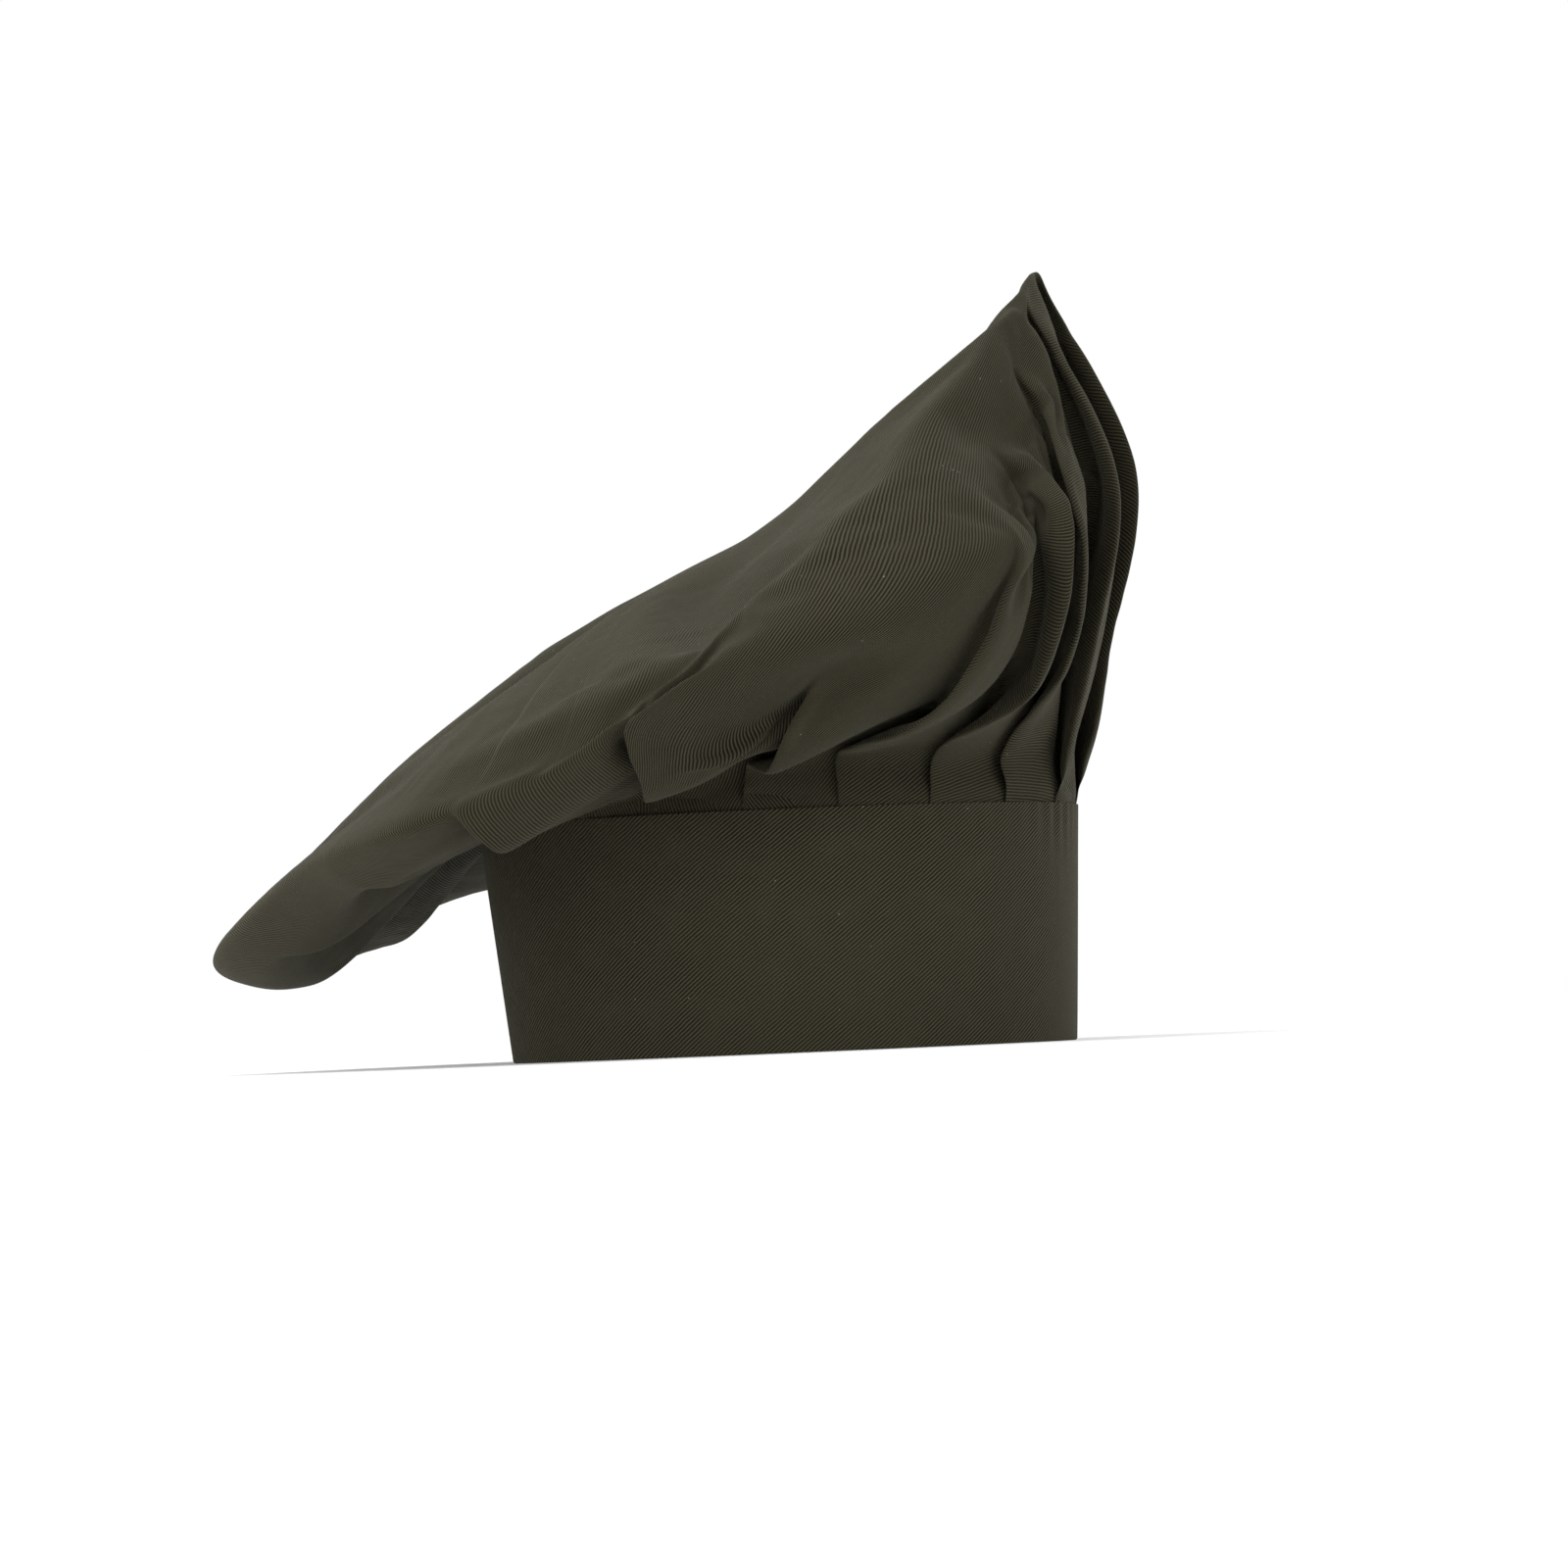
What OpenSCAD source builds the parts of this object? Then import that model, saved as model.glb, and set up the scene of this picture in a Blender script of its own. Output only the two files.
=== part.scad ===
// Chef toque: a pleated, floppy twill crown on a stiffened band that closes at the back.
// Millimetres. +Z up, +X to the front of the head, z = 0 on the band's bottom fold.

/* [Band] */
// Front-to-back size of the band outside, at the bottom fold
band_length_bottom = 199.6; // [185:0.2:215]
// Front-to-back size of the band outside, at the top edge
band_length_top = 212.4; // [195:0.2:230]
// Side-to-side size of the band outside, at the bottom fold
band_width_bottom = 168; // [150:1:185]
// Side-to-side size of the band outside, at the top edge
band_width_top = 176; // [155:1:195]
// How far behind the origin the bottom fold is centred
band_back_bottom = 0.25; // [0:0.05:4]
// How far behind the origin the top edge is centred
band_back_top = 2.75; // [0:0.05:6]
// Height of the band
band_height = 83; // [60:1:110]
// Thickness of one layer of twill
cloth = 0.6; // [0.4:0.1:1]
// Thickness of the stiff interlining
stiffener = 1.2; // [0.6:0.1:2]
// Angle round the head where the band's near end is cut, at the root of the tab
end_a = 168.6; // [160:0.1:205]
// Angle round the head where the band's far end is cut, under the tab
end_b = 160; // [152:0.5:192]

/* [Crown] */
// Depth of crown cloth caught inside the top of the band
seam_allowance = 11; // [6:1:14]
// Height of the crown's centre point above the bottom fold
crown_centre_z = 191; // [150:1:210]
// How far behind the origin the crown's centre point lies
crown_centre_back = 16; // [0:1:40]

/* [Tab closure] */
// Angle where the tab starts, beside the band's near end
tab_root = 168; // [160:0.5:204]
// Angle where the tab ends
tab_tip = 123; // [112:0.5:170]
// Bottom edge of the tab
tab_low = 8; // [4:1:30]
// Top edge of the tab
tab_high = 50; // [35:1:60]
// Clear gap between the two tapes
tape_gap = 0.7; // [0.4:0.1:1]
// Thickness of the hook tape and of the loop tape
tape = 1.2; // [0.8:0.1:2]
// Width of both tapes
tape_width = 25; // [16:1:38]
// Angle of the tapes' end nearest the tab's tip
tape_tip = 126; // [115:0.5:170]
// Angle of the tapes' end nearest the tab's root
tape_root = 156.5; // [150:0.5:188]

/* [Threads and label] */
// Thickness of sewing thread as it stands proud of the cloth
thread = 0.3; // [0.2:0.05:0.5]
// Width of a line of stitches
stitch = 0.5; // [0.4:0.1:1]
// Angle of the middle of the care label
label_angle = 230; // [205:1:260]
// Half the angle that the label spans
label_half = 8.5; // [5:0.5:12]
// Length of the label below its sewn edge
label_drop = 40; // [20:1:60]
// Thickness of the label
label_thick = 0.3; // [0.2:0.05:0.6]
// Gap between the label and the band's inside face
label_gap = 0.5; // [0.3:0.05:1]

/* [Hidden] */

// Angle between two sections of the band and of the tab; all pieces share these grid angles
band_step = 3.75;
tab_step = 1.25;
// Steps between two crown ribs and between two points of a rib
rib_steps = 3;
span_steps = 4;
// Clear gap between two layers that lie on each other
ease = 0.1;
// The crown's seam allowance, pressed flat between the band's layers: depth of its two faces
tuck_outer = 0.85;
tuck_inner = 1.45;

band_thick = 2 * cloth + stiffener;
tab_rise = 2 * tape + tape_gap;
tab_ramp = 7;
tape_low = (tab_low + tab_high - tape_width) / 2;
tape_high = tape_low + tape_width;
crown_top = [-crown_centre_back, 0, crown_centre_z];
crown_thick = 1.2;

twill = [0.10, 0.10, 0.085];
lining_white = [0.80, 0.80, 0.77];
tape_black = [0.06, 0.06, 0.06];
thread_black = [0.05, 0.05, 0.05];
label_white = [0.86, 0.86, 0.83];

// Crown ribs: the angle where each leaves the band, then the top of its upright foot, the
// underside of the fold that hangs over, the fullest point and the rim point.
// Seen from above the ribs run from the front, along the far side to the back, and return on the near side.
RIBS = [
  [0,   [105, 0, 97], [119, 0, 140], [131, 0, 202], [98, 0, 276]],
  [18,  [100, 30, 97], [115, 46, 138], [127, 52, 198], [93, 24, 271]],
  [38,  [82, 56, 98], [102, 86, 132], [113, 100, 184], [80, 52, 250]],
  [62,  [48, 78, 98], [76, 126, 118], [90, 146, 168], [57, 100, 214]],
  [85,  [6, 89, 98], [20, 146, 110], [38, 168, 148], [18, 136, 174]],
  [110, [-36, 85, 95], [-48, 148, 96], [-60, 174, 108], [-46, 156, 128]],
  [133, [-76, 68, 88], [-104, 134, 68], [-127, 158, 76], [-116, 142, 96]],
  [155, [-104, 42, 84], [-150, 84, 44], [-178, 98, 48], [-168, 90, 66]],
  [180, [-118, 0, 80], [-174, 0, 31], [-206, 0, 38], [-200, 0, 49]],
  [205, [-103, -42, 82], [-150, -92, 58], [-170, -98, 66], [-161, -86, 76]],
  [227, [-76, -68, 86], [-112, -146, 68], [-131, -160, 78], [-114, -140, 98]],
  [244, [-47, -80, 92], [-64, -144, 84], [-80, -170, 98], [-66, -152, 118]],
  [258, [-22, -87, 96], [-30, -148, 96], [-38, -174, 112], [-22, -154, 137]],
  [280, [15, -87, 97], [34, -144, 107], [56, -164, 154], [28, -132, 182]],
  [295, [43, -80, 98], [72, -130, 114], [88, -148, 166], [52, -104, 208]],
  [310, [65, -68, 98], [92, -108, 126], [104, -126, 176], [73, -72, 240]],
  [335, [95, -38, 97], [110, -64, 136], [121, -76, 190], [89, -34, 267]]
];
rib_count = len(RIBS);

function mix(a, b, t) = a + (b - a) * t;
function smooth(t) = let (c = min(max(t, 0), 1)) c * c * (3 - 2 * c);

// A point of the band: angle, depth below its outside face, height.
function band_point(angle, depth, z) =
  let (
    t = z / band_height,
    half_length = mix(band_length_bottom, band_length_top, t) / 2 - depth,
    half_width = mix(band_width_bottom, band_width_top, t) / 2 - depth,
    back = mix(band_back_bottom, band_back_top, t)
  )
  [half_length * cos(angle) - back, half_width * sin(angle), z];

// The curve through four points, from the second to the third.
function curve(p, q, r, s, t) =
  0.5 * (2 * q + (r - p) * t + (2 * p - 5 * q + 4 * r - s) * t * t
         + (3 * q - p - 3 * r + s) * t * t * t);

// How far the tab has moved out of the band's own surface at an angle.
function tab_shift(angle) = (tab_rise + band_thick) * smooth((tab_root - angle) / tab_ramp);

// A section, a list of [depth, height], carried round the band from one angle to another.
module sweep(from, to, section, on_tab = false) {
  step = on_tab ? tab_step : band_step;
  angles = concat([from], [for (i = [floor(from / step) + 1:ceil(to / step) - 1]) i * step], [to]);
  rows = len(angles);
  n = len(section);
  points = [
    for (angle = angles, p = section)
      band_point(angle, p[0] - (on_tab ? tab_shift(angle) : 0), p[1])
  ];
  sides = [
    for (i = [0:rows - 2], j = [0:n - 1])
      let (a = i * n + j, b = i * n + (j + 1) % n)
      for (f = [[a, b + n, b], [a, a + n, b + n]]) f
  ];
  first = [for (j = [0:n - 1]) j];
  last = [for (j = [n - 1:-1:0]) (rows - 1) * n + j];
  polyhedron(points, concat(sides, [first], [last]));
}

// A plain four-sided section.
function box_section(d0, d1, z0, z1) = [[d0, z0], [d0, z1], [d1, z1], [d1, z0]];

// Two layers of cloth joined by a fold along the bottom.
function folded_section(z0, z1) = [
  [0, z0], [0, z1], [cloth, z1], [cloth, z0 + cloth],
  [band_thick - cloth, z0 + cloth], [band_thick - cloth, z1], [band_thick, z1], [band_thick, z0]
];

// A rectangle of stitches standing proud of a face at a depth.
module stitched_box(from, to, z0, z1, face, on_tab = false) {
  turn = stitch * 360 / 620;
  low = face - ease - thread;
  high = face - ease;
  sweep(from, to, box_section(low, high, z0, z0 + stitch), on_tab);
  sweep(from, to, box_section(low, high, z1 - stitch, z1), on_tab);
  sweep(from, from + turn, box_section(low, high, z0 + 2 * stitch, z1 - 2 * stitch), on_tab);
  sweep(to - turn, to, box_section(low, high, z0 + 2 * stitch, z1 - 2 * stitch), on_tab);
}

// One value of the rib table, carried smoothly round the crown: u counts ribs.
function rib_angle(i) = RIBS[i % rib_count][0] + 360 * floor(i / rib_count);
function rib_part(u, k) =
  let (i = floor(u), f = u - i)
  curve(
    RIBS[(i + rib_count - 1) % rib_count][k], RIBS[i % rib_count][k],
    RIBS[(i + 1) % rib_count][k], RIBS[(i + 2) % rib_count][k], f
  );
function rib_turn(u) =
  let (i = floor(u) + rib_count, f = u - floor(u))
  curve(rib_angle(i - 1), rib_angle(i), rib_angle(i + 1), rib_angle(i + 2), f);
function rib_start(u, depth, z) = band_point(rib_turn(u), depth, z);

// The rib opposite u, half the table on.
function far_side(u) = (u + rib_count / 2) % rib_count;

// The point between a rim point and the crown's centre: a little proud, but hollow behind the peak.
function shoulder(rim, angle) =
  mix(rim, crown_top, 0.38) + [0, 0, 7 - 30 * pow(max(0, cos(angle)), 2)];

// The guide points of one rib, from under the band's edge to past the crown's centre.
function rib_guides(u) =
  let (
    mid_depth = (tuck_outer + tuck_inner) / 2,
    far_u = far_side(u)
  )
  [
    rib_start(u, mid_depth, band_height - 24),
    rib_start(u, mid_depth, band_height),
    rib_part(u, 1), rib_part(u, 2), rib_part(u, 3), rib_part(u, 4),
    shoulder(rib_part(u, 4), rib_turn(u)),
    crown_top,
    shoulder(rib_part(far_u, 4), rib_turn(far_u))
  ];

// Row k of the crown's middle surface at column u, from the seam edge up to the centre.
spans = 6;
rows_up = spans * span_steps;
function crown_mid(u, k) =
  let (g = rib_guides(u), s = min(floor(k / span_steps), spans - 1), t = k / span_steps - s)
  curve(g[s], g[s + 1], g[s + 2], g[s + 3], t);

module crown_shell() {
  columns = rib_count * rib_steps;
  // Middle surface, without its last row, which is the one centre point.
  mid = [for (c = [0:columns - 1]) [for (k = [0:rows_up - 1]) crown_mid(c / rib_steps, k)]];
  // Outward direction at each point above the seam.
  out = [
    for (c = [0:columns - 1]) [
      for (k = [1:rows_up - 1])
        let (
          next = mid[(c + 1) % columns][k],
          before = mid[(c + columns - 1) % columns][k],
          above = k == rows_up - 1 ? crown_top : mid[c][k + 1],
          n = cross(next - before, above - mid[c][k - 1])
        )
        n / norm(n)
    ]
  ];
  function face(side, depth) = [
    for (z = [band_height - seam_allowance, band_height + ease], c = [0:columns - 1])
      rib_start(c / rib_steps, depth, z),
    for (k = [1:rows_up - 1], c = [0:columns - 1])
      mid[c][k] + side * out[c][k - 1] * crown_thick / 2
  ];
  outer = face(1, tuck_outer);
  inner = face(-1, tuck_inner);
  rows = rows_up + 1;
  n = rows * columns;
  points = concat(
    outer, inner, [crown_top + [0, 0, crown_thick / 2]], [crown_top - [0, 0, crown_thick / 2]]
  );
  walls = [
    for (k = [0:rows - 2], c = [0:columns - 1])
      let (a = k * columns + c, b = k * columns + (c + 1) % columns, up = columns)
      for (f = [
        [a, b + up, b], [a, a + up, b + up],
        [n + a, n + b, n + b + up], [n + a, n + b + up, n + a + up]
      ]) f
  ];
  hem = [
    for (c = [0:columns - 1])
      let (a = c, b = (c + 1) % columns)
      for (f = [[a, b, n + b], [a, n + b, n + a]]) f
  ];
  last = (rows - 1) * columns;
  caps = [
    for (c = [0:columns - 1])
      let (a = last + c, b = last + (c + 1) % columns)
      for (f = [[a, 2 * n, b], [n + a, n + b, 2 * n + 1]]) f
  ];
  polyhedron(points, concat(walls, hem, caps));
}

module crown() color(twill) crown_shell();

module band_cloth() color(twill)
  sweep(end_a - 360, end_b, folded_section(0, band_height));

module band_interlining() color(lining_white)
  sweep(
    end_a - 360, end_b,
    box_section(
      cloth + ease, cloth + stiffener - ease,
      cloth + ease, band_height - seam_allowance - 0.5
    )
  );

module crown_seam_thread() color(thread_black)
  sweep(
    end_a - 360 + 0.5, end_b - 0.5,
    box_section(
      band_thick + ease, band_thick + ease + thread,
      band_height - 4, band_height - 4 + stitch
    )
  );

module band_end_threads() color(thread_black) {
  turn = stitch * 360 / 620;
  for (angle = [end_a - 360 + 1.5, end_b - 1.5 - turn])
    sweep(
      angle, angle + turn,
      box_section(band_thick + ease, band_thick + ease + thread, 3, band_height - 6)
    );
}

// Closes the raw edge of the crown between the two ends of the band.
module rear_slit_binding() color(twill)
  sweep(
    end_b + 0.4, end_a - 0.4,
    [
      [-0.4, band_height - seam_allowance - 1.2], [-0.4, band_height - 3],
      [cloth, band_height - 3], [cloth, band_height - seam_allowance - 0.2],
      [cloth + stiffener, band_height - seam_allowance - 0.2], [cloth + stiffener, band_height - 3],
      [band_thick + 0.4, band_height - 3], [band_thick + 0.4, band_height - seam_allowance - 1.2]
    ]
  );

module loop_tape() color(tape_black)
  sweep(tape_tip, tape_root, box_section(-tape, -ease, tape_low, tape_high));

module loop_tape_thread() color(thread_black)
  stitched_box(tape_tip + 1, tape_root - 1, tape_low + 2, tape_high - 2, -tape);

module tab_cloth() color(twill)
  sweep(tab_tip, tab_root, folded_section(tab_low, tab_high), true);

module tab_interlining() color(lining_white)
  sweep(
    tab_tip + 0.5, tab_root - 0.5,
    box_section(cloth + ease, cloth + stiffener - ease, tab_low + cloth + ease, tab_high - 1), true
  );

// The hook tape lies on the tab's inside face and meets the loop tape face to face.
module hook_tape() color(tape_black)
  sweep(
    tape_tip, tape_root,
    box_section(-tab_rise + ease, -tab_rise + tape, tape_low, tape_high)
  );

module hook_tape_thread() color(thread_black)
  stitched_box(tape_tip + 1, tape_root - 1, tape_low + 2, tape_high - 2, -tab_rise - band_thick);

module tab_edge_thread() color(thread_black)
  stitched_box(tab_tip + 1.2, tab_root - 9, tab_low + 2.5, tab_high - 2.5, -tab_rise - band_thick);

module care_label() color(label_white)
  sweep(
    label_angle - label_half, label_angle + label_half,
    box_section(
      band_thick + label_gap, band_thick + label_gap + label_thick,
      band_height - 5 - label_drop, band_height - 5
    )
  );

crown();
band_cloth();
band_interlining();
crown_seam_thread();
band_end_threads();
rear_slit_binding();
loop_tape();
loop_tape_thread();
tab_cloth();
tab_interlining();
hook_tape();
hook_tape_thread();
tab_edge_thread();
care_label();
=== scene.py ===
import math

import bpy
import numpy as np
from mathutils import Matrix, Vector


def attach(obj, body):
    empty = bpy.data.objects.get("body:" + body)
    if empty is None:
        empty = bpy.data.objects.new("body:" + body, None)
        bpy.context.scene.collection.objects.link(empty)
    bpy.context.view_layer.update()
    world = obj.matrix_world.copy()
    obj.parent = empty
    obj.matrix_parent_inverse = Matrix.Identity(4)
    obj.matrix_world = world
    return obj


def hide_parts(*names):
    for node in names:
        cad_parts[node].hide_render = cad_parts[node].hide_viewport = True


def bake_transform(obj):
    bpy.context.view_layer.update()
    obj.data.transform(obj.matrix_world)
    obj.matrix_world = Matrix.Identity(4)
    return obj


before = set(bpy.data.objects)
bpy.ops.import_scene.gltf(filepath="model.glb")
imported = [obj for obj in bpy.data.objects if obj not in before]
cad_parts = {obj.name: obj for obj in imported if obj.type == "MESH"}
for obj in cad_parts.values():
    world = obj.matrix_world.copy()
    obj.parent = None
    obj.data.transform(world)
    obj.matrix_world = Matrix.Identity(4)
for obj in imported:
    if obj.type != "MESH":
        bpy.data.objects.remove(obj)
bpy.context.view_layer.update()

# Chef toque: the visual model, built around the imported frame.
# Sizes are in millimetres and angles in degrees, unless a comment or a name says otherwise.
MM = 0.001

# ---------------------------------------------------------------- sizes shared with the part
BAND_HEIGHT = 83.0
BAND_LENGTH = (199.6, 212.4)
BAND_WIDTH = (168.0, 176.0)
BAND_BACK = (0.25, 2.75)
CLOTH = 0.6
STIFFENER = 1.2
BAND_THICK = 2 * CLOTH + STIFFENER
END_A = 168.6
END_B = 160.0
TAB_ROOT = 168.0
TAB_TIP = 123.0
TAB_LOW = 8.0
TAB_HIGH = 50.0
TAPE = 1.2
TAPE_GAP = 0.7
TAB_RISE = 2 * TAPE + TAPE_GAP
TAB_RAMP = 7.0
TAPE_TIP = 126.0
TAPE_ROOT = 156.5
TAPE_WIDTH = 25.0
TAPE_LOW = (TAB_LOW + TAB_HIGH - TAPE_WIDTH) / 2
TAPE_HIGH = TAPE_LOW + TAPE_WIDTH

# ---------------------------------------------------------------- crown: cut, pleats and pose
CUT_RADIUS = 354.0         # flat radius of the circle of twill, up to the seam line
TUCKED = 7.0               # how much of it stands inside the top of the band
PLEATS = 20
PLEAT_PHASE = 10.0 / 18.0  # where the first fold lies, in pleats from the front
PLEAT_TIGHT = 0.12         # spacing of the folded layers inside the band
PLEAT_LOOSE = 6.0          # how much further apart they stand once clear of it
LOOSE_FROM = 4             # length of cloth above the band's top edge before they begin to part
LOOSE_OVER = 50.0          # length of cloth over which they part
CLOSING_FROM = 137         # distance up the cloth where the layers begin to close up again
CLOSING_OVER = 80          # length of cloth over which they close up
PLEATED_TO = 200           # distance up the cloth beyond which nothing is folded
MOST_CLOTH = 3.6           # most cloth laid into one pleat, as a multiple of the pleat's room
FAN = 0.20                 # how much wider the pleats spread at the back than the front
FAN_FROM = 20              # distance up the cloth where that begins
FAN_OVER = 260.0           # length of cloth over which it comes and goes
COLUMNS = 18               # mesh columns in one pleat
RING_STEP = 5.5            # distance between two rings of the mesh
TURNS = 720                # angles at which the crown's outer surface is worked out
LEVELS = 140               # levels between the seam line and the centre
CENTRE = np.array((-16.0, 0.0, 191.0))

# Ribs of the slumped crown: angle at the band, top of the upright foot, underside of the overhang,
# fullest point, rim point.
RIBS = [
    (0, (105, 0, 97), (119, 0, 140), (131, 0, 202), (98, 0, 276)),
    (18, (100, 30, 97), (115, 46, 138), (127, 52, 198), (93, 24, 271)),
    (38, (82, 56, 98), (102, 86, 132), (113, 100, 184), (80, 52, 250)),
    (62, (48, 78, 98), (76, 126, 118), (90, 146, 168), (57, 100, 214)),
    (85, (6, 89, 98), (20, 146, 110), (38, 168, 148), (18, 136, 174)),
    (110, (-36, 85, 95), (-48, 148, 96), (-60, 174, 108), (-46, 156, 128)),
    (133, (-76, 68, 88), (-104, 134, 68), (-127, 158, 76), (-116, 142, 96)),
    (155, (-104, 42, 84), (-150, 84, 44), (-178, 98, 48), (-168, 90, 66)),
    (180, (-118, 0, 80), (-174, 0, 31), (-206, 0, 38), (-200, 0, 49)),
    (205, (-103, -42, 82), (-150, -92, 58), (-170, -98, 66), (-161, -86, 76)),
    (227, (-76, -68, 86), (-112, -146, 68), (-131, -160, 78), (-114, -140, 98)),
    (244, (-47, -80, 92), (-64, -144, 84), (-80, -170, 98), (-66, -152, 118)),
    (258, (-22, -87, 96), (-30, -148, 96), (-38, -174, 112), (-22, -154, 137)),
    (280, (15, -87, 97), (34, -144, 107), (56, -164, 154), (28, -132, 182)),
    (295, (43, -80, 98), (72, -130, 114), (88, -148, 166), (52, -104, 208)),
    (310, (65, -68, 98), (92, -108, 126), (104, -126, 176), (73, -72, 240)),
    (335, (95, -38, 97), (110, -64, 136), (121, -76, 190), (89, -34, 267)),
]

# Hollows pushed into the puffed side before the cloth settles:
# angle, distance up the cloth, half width in degrees, half length, depth.
HOLLOWS = [
    (262.0, 112.0, 6.0, 20.0, 16.0),
]

# Pleats whose layers are spaced unlike the rest:
# angle of the pleat's middle, spread in degrees, change as a share of the usual spacing.
SPACING_CHANGES = [(262.0, 10.0, -0.5)]


def band_wave(turn, t):
    """How far soft unevenness pushes the band inward: angle in radians, share of its height."""
    low = 0.45 * np.sin(3 * turn + 0.7) * t + 0.25 * np.sin(7 * turn + 2.1) * (1 - t) ** 2
    near_top = np.exp(-((1 - t) / 0.16) ** 2)
    drawn = 0.10 + 0.45 * np.exp(-((turn + 0.42) / 0.13) ** 2) + 0.2 * np.exp(-((turn + 2.2) / 0.2) ** 2)
    return low + drawn * near_top * np.sin(78 * turn + 1.5 * np.sin(5 * turn))


def band_point(angle, depth, z):
    """Points of the band: degrees round the head, depth below its outside face, height."""
    turn = np.radians((np.asarray(angle, float) + 180) % 360 - 180)
    t = np.asarray(z, float) / BAND_HEIGHT
    depth = depth + band_wave(turn, t)
    half_length = (BAND_LENGTH[0] + (BAND_LENGTH[1] - BAND_LENGTH[0]) * t) / 2 - depth
    half_width = (BAND_WIDTH[0] + (BAND_WIDTH[1] - BAND_WIDTH[0]) * t) / 2 - depth
    back = BAND_BACK[0] + (BAND_BACK[1] - BAND_BACK[0]) * t
    x = half_length * np.cos(turn) - back
    y = half_width * np.sin(turn)
    return np.stack([x, y, z + 0 * x], -1)


def round_the_crown(angles, table):
    """A table with one row for each rib, carried smoothly round the crown to other angles."""
    keys = np.array([rib[0] for rib in RIBS], float)
    n = len(keys)
    wrapped = np.concatenate([[keys[-1] - 360], keys, [keys[0] + 360, keys[1] + 360]])
    rows = np.concatenate([table[-1:], table, table[:2]])
    i = np.clip(np.searchsorted(wrapped, angles, side="right") - 1, 1, n)
    a0, a1, a2 = wrapped[i - 1], wrapped[i], wrapped[i + 1]
    a3 = wrapped[np.minimum(i + 2, n + 2)]
    r0, r1, r2, r3 = rows[i - 1], rows[i], rows[i + 1], rows[np.minimum(i + 2, n + 2)]
    shape = (len(angles),) + (1,) * (table.ndim - 1)
    span = (a2 - a1).reshape(shape)
    t = ((angles - a1) / (a2 - a1)).reshape(shape)
    m1 = (r2 - r0) / (a2 - a0).reshape(shape) * span
    m2 = (r3 - r1) / np.maximum(a3 - a1, 1e-6).reshape(shape) * span
    return (
        (2 * t**3 - 3 * t**2 + 1) * r1 + (t**3 - 2 * t**2 + t) * m1
        + (3 * t**2 - 2 * t**3) * r2 + (t**3 - t**2) * m2
    )


def curve_through(points, steps):
    """Centripetal curve through points[:, 1:-1]; the first and last point only steer it."""
    out = []
    for j in range(1, points.shape[1] - 2):
        p0, p1, p2, p3 = (points[:, j + k] for k in (-1, 0, 1, 2))
        knots = [np.zeros((len(points), 1))]
        for a, b in ((p0, p1), (p1, p2), (p2, p3)):
            knots.append(knots[-1] + np.sqrt(np.linalg.norm(b - a, axis=1, keepdims=True) + 1e-6))
        t0, t1, t2, t3 = knots
        for i in range(steps):
            t = t1 + (t2 - t1) * i / steps
            a1 = (t1 - t) / (t1 - t0) * p0 + (t - t0) / (t1 - t0) * p1
            a2 = (t2 - t) / (t2 - t1) * p1 + (t - t1) / (t2 - t1) * p2
            a3 = (t3 - t) / (t3 - t2) * p2 + (t - t2) / (t3 - t2) * p3
            b1 = (t2 - t) / (t2 - t0) * a1 + (t - t0) / (t2 - t0) * a2
            b2 = (t3 - t) / (t3 - t1) * a2 + (t - t1) / (t3 - t1) * a3
            out.append((t2 - t) / (t2 - t1) * b1 + (t - t1) / (t2 - t1) * b2)
    out.append(points[:, -2])
    return np.stack(out, 1)


def crown_surface():
    """The crown's outer surface before pleating: points[angle, level], and the rim points."""
    angles = np.arange(TURNS) * 360.0 / TURNS
    ribs = round_the_crown(angles, np.array([rib[1:] for rib in RIBS], float))
    depth = CLOTH + 0.3
    rim = ribs[:, 3]
    shoulder = 0.62 * rim + 0.38 * CENTRE
    shoulder[:, 2] += 7 - 42 * np.maximum(0, np.cos(np.radians(angles))) ** 2
    guides = np.stack([
        band_point(angles, depth, BAND_HEIGHT - TUCKED - 20),
        band_point(angles, depth, BAND_HEIGHT - TUCKED),
        band_point(angles, depth, BAND_HEIGHT + 1),
        ribs[:, 0], ribs[:, 1], ribs[:, 2],
        0.86 * rim + 0.14 * ribs[:, 2], rim, 0.88 * rim + 0.12 * shoulder, shoulder,
        np.broadcast_to(CENTRE, (TURNS, 3)),
        np.roll(shoulder, TURNS // 2, 0),
    ], 1)
    fine = curve_through(guides, 12)
    lengths = np.linalg.norm(np.diff(fine, axis=1), axis=2)
    along = np.concatenate([np.zeros((TURNS, 1)), np.cumsum(lengths, 1)], 1)
    levels = np.linspace(0, 1, LEVELS)
    # The stretch inside the band keeps its length; the rest is shared out evenly up to the centre.
    tucked = TUCKED + 1
    points = np.empty((TURNS, LEVELS, 3))
    for i in range(TURNS):
        s = levels * CUT_RADIUS
        scale = (along[i, -1] - tucked) / (CUT_RADIUS - tucked)
        u = np.where(s < tucked, s, tucked + (s - tucked) * scale)
        for k in range(3):
            points[i, :, k] = np.interp(u, along[i], fine[i, :, k])
    return angles, levels * CUT_RADIUS, smooth_centre(points, levels * CUT_RADIUS), ribs


def smooth_centre(points, s):
    """Keeps only broad waves near the crown's centre, so that it has no point there."""
    waves = np.fft.rfft(points, axis=0)
    order = np.arange(waves.shape[0])
    for j, reach in enumerate(CUT_RADIUS - s):
        fade = np.clip(reach / 150.0, 0, 1) ** np.maximum(order - 1, 0)
        waves[:, j] *= fade[:, None]
    return np.fft.irfft(waves, n=TURNS, axis=0)


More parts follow.
